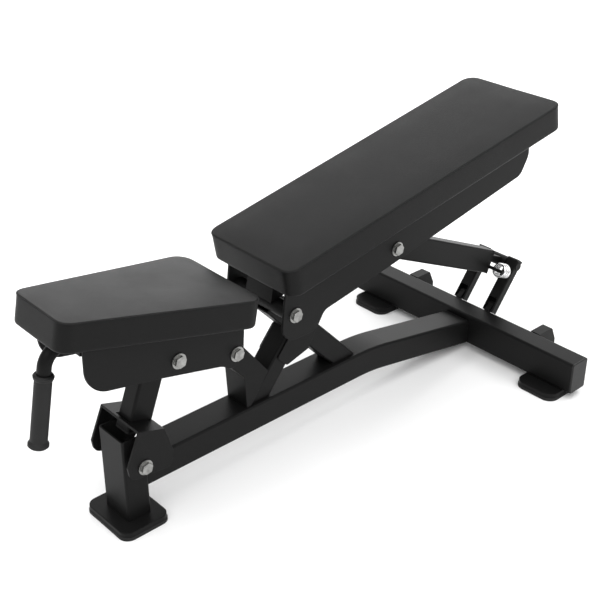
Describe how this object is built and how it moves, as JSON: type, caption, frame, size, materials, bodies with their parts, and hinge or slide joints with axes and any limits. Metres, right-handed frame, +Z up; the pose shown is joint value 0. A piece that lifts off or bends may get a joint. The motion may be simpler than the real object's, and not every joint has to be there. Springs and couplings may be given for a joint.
{
  "type": "adjustable weight bench",
  "caption": "Flat and incline weight bench with a tilting seat, a hinged back pad on a folding strut, a low tube frame and small transport wheels",
  "frame": {"origin": "on the floor, under the middle of the bench's outer box at rest", "axes": "+X towards the head end of the back pad, +Y to the left seen from the seat end, +Z up"},
  "size_m": [1.273, 0.658, 0.5976],
  "materials": {
    "frame_steel": "satin black powder coat",
    "zinc": "bright zinc plated, satin",
    "spring_chrome": "bright chrome",
    "upholstery": "black synthetic leather, fine grain, low sheen",
    "board": "bare plywood",
    "rubber": "matt black rubber",
    "tyre": "matt black polyurethane",
    "plastic": "matt black plastic"
  },
  "bodies": {
    "base": {"back_hinge_bushes": "plastic", "back_hinge_sleeve": "frame_steel", "crossbar_end_caps": "plastic", "frame_gussets": "frame_steel", "front_foot_plate": "frame_steel", "front_foot_rubber": "rubber", "front_leg": "frame_steel", "hinge_brace": "frame_steel", "leg_bolt_set": "zinc", "leg_bolt_spacers": "frame_steel", "link_lugs": "frame_steel", "main_beam": "frame_steel", "rear_crossbar": "frame_steel", "rear_foot_plate_left": "frame_steel", "rear_foot_plate_right": "frame_steel", "rear_foot_rubber_left": "rubber", "rear_foot_rubber_right": "rubber", "saddle_bracket": "frame_steel", "seat_arm": "frame_steel", "seat_hinge_bushes": "plastic", "seat_hinge_sleeve": "frame_steel", "upright_tube": "frame_steel", "wheel_axles": "zinc", "wheel_bracket_left": "frame_steel", "wheel_bracket_right": "frame_steel"},
    "back": {"back_cross_tube": "frame_steel", "back_hinge_bolt_set": "zinc", "back_pad": "upholstery", "back_pad_board": "board", "back_pad_screws": "zinc", "back_side_plate_left": "frame_steel", "back_side_plate_right": "frame_steel", "back_spine": "frame_steel", "back_tray": "frame_steel", "strut_pivot_bolt_set": "zinc"},
    "links": {"link_bar_left": "frame_steel", "link_bar_right": "frame_steel", "link_caps": "plastic", "knee_axle": "frame_steel", "link_pivot_pins": "frame_steel"},
    "strut": {"strut_tube": "frame_steel", "strut_head": "frame_steel", "knee_springs": "spring_chrome"},
    "seat": {"handle_grip": "rubber", "handle_tube": "frame_steel", "post_pivot_bolt_set": "zinc", "seat_hinge_bolt_set": "zinc", "seat_pad": "upholstery", "seat_pad_board": "board", "seat_pad_screws": "zinc", "seat_side_plate_left": "frame_steel", "seat_side_plate_right": "frame_steel", "seat_tray": "frame_steel"},
    "seat_post": {"seat_post": "frame_steel", "seat_post_sleeve": "frame_steel", "seat_post_cap": "plastic"},
    "wheel_left": {"wheel_hub_left": "plastic", "wheel_tyre_left": "tyre"},
    "wheel_right": {"wheel_hub_right": "plastic", "wheel_tyre_right": "tyre"}
  },
  "joints": [
    {"name": "back_tilt", "type": "hinge", "parent": "base", "child": "back", "pos_m": [-0.10634, 0, 0.337], "axis": [0, -1, 0], "range_deg": [-10.75, 20]},
    {"name": "link_swing", "type": "hinge", "parent": "base", "child": "links", "pos_m": [0.55566, 0, 0.096], "axis": [0, -1, 0], "range_deg": [-19.3, 35.8]},
    {"name": "knee_fold", "type": "hinge", "parent": "links", "child": "strut", "pos_m": [0.61966, 0, 0.18], "axis": [0, -1, 0], "range_deg": [-43.8, 23.6], "deforming": ["knee_springs"]},
    {"name": "seat_tilt", "type": "hinge", "parent": "base", "child": "seat", "pos_m": [-0.24134, 0, 0.303], "axis": [0, 1, 0], "range_deg": [-11.4, 4]},
    {"name": "post_swing", "type": "hinge", "parent": "seat", "child": "seat_post", "pos_m": [-0.37134, 0, 0.342], "axis": [0, 1, 0], "range_deg": [-5, 13.9]},
    {"name": "wheel_left_spin", "type": "hinge", "parent": "base", "child": "wheel_left", "pos_m": [0.56766, 0.187, 0.034], "axis": [0, 1, 0], "continuous": true},
    {"name": "wheel_right_spin", "type": "hinge", "parent": "base", "child": "wheel_right", "pos_m": [0.56766, -0.187, 0.034], "axis": [0, 1, 0], "continuous": true}
  ],
  "couplings": [
    {"joint": "link_swing", "follows": "back_tilt", "ratio": 1.777},
    {"joint": "knee_fold", "follows": "back_tilt", "ratio": -2.179},
    {"joint": "post_swing", "follows": "seat_tilt", "ratio": -1.2}
  ]
}
